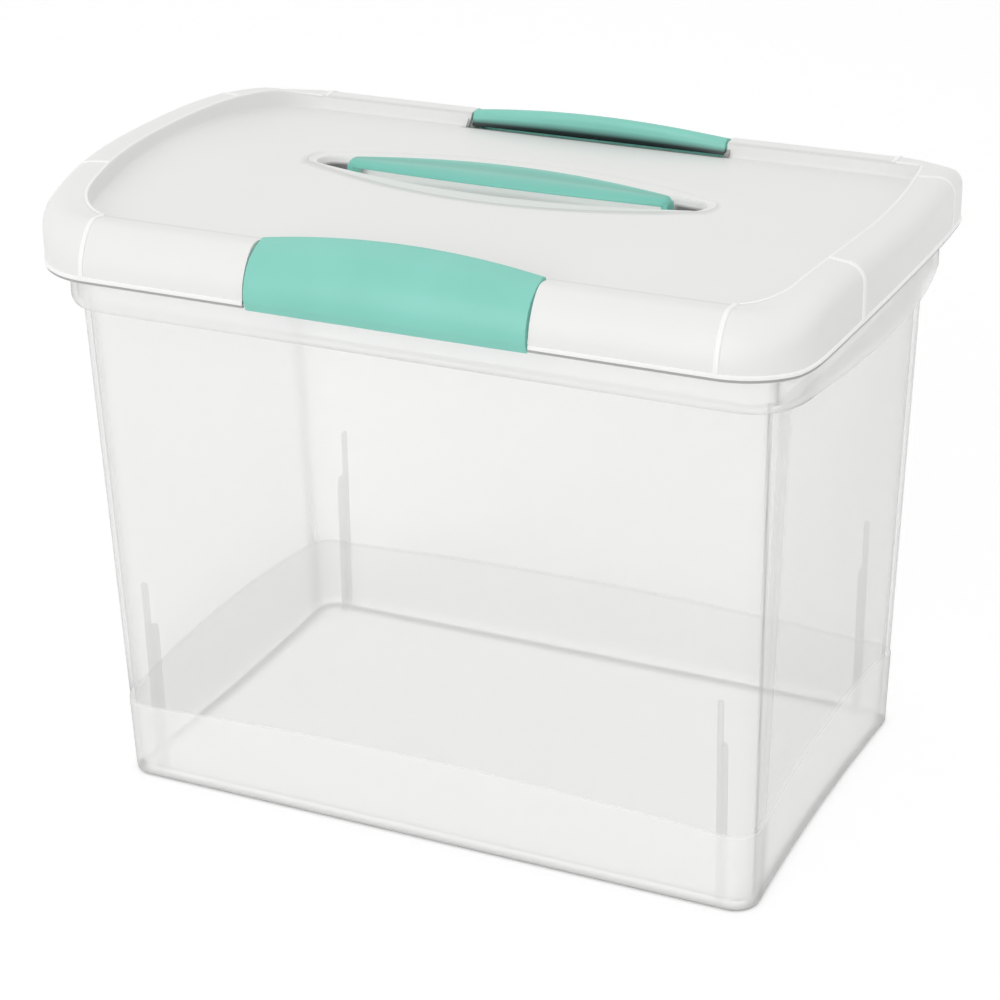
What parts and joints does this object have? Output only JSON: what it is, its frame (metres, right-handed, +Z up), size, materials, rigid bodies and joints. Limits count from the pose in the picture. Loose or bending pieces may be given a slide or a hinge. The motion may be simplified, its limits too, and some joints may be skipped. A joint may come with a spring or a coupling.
{
  "type": "portable file box",
  "caption": "Upright clear plastic file box with tapered walls, crowned lift-off lid with rolled rim, swing latches on both long sides and a lens-shaped carry handle in a finger well.",
  "frame": {"origin": "centre of the flat underside of the base", "axes": "+X along the long sides, -Y out of the front latch, +Z up"},
  "size_m": [0.3762, 0.2426, 0.287],
  "materials": {
    "base_shell": "clear moulded polypropylene, slightly hazy",
    "lid_shell": "milky white moulded polypropylene, satin",
    "latch_plastic": "sea-green moulded polypropylene, satin",
    "handle_plastic": "sea-green moulded polypropylene, satin"
  },
  "bodies": {
    "base_body": {"base": "base_shell"},
    "lid_body": {"lid": "lid_shell"},
    "front_latch_body": {"front_latch": "latch_plastic"},
    "back_latch_body": {"back_latch": "latch_plastic"},
    "handle_body": {"handle": "handle_plastic"}
  },
  "joints": [
    {"name": "lid_lift", "type": "slide", "parent": "base_body", "child": "lid_body", "axis": [0, 0, 1], "range_m": [0, 0.09]},
    {"name": "front_latch_swing", "type": "hinge", "parent": "lid_body", "child": "front_latch_body", "pos_m": [0, -0.1022, 0.2738], "axis": [-1, 0, 0], "range_deg": [0, 65]},
    {"name": "back_latch_swing", "type": "hinge", "parent": "lid_body", "child": "back_latch_body", "pos_m": [0, 0.1022, 0.2738], "axis": [1, 0, 0], "range_deg": [0, 65]},
    {"name": "handle_lift", "type": "slide", "parent": "lid_body", "child": "handle_body", "axis": [0, 0, 1], "range_m": [0, 0.009]}
  ]
}
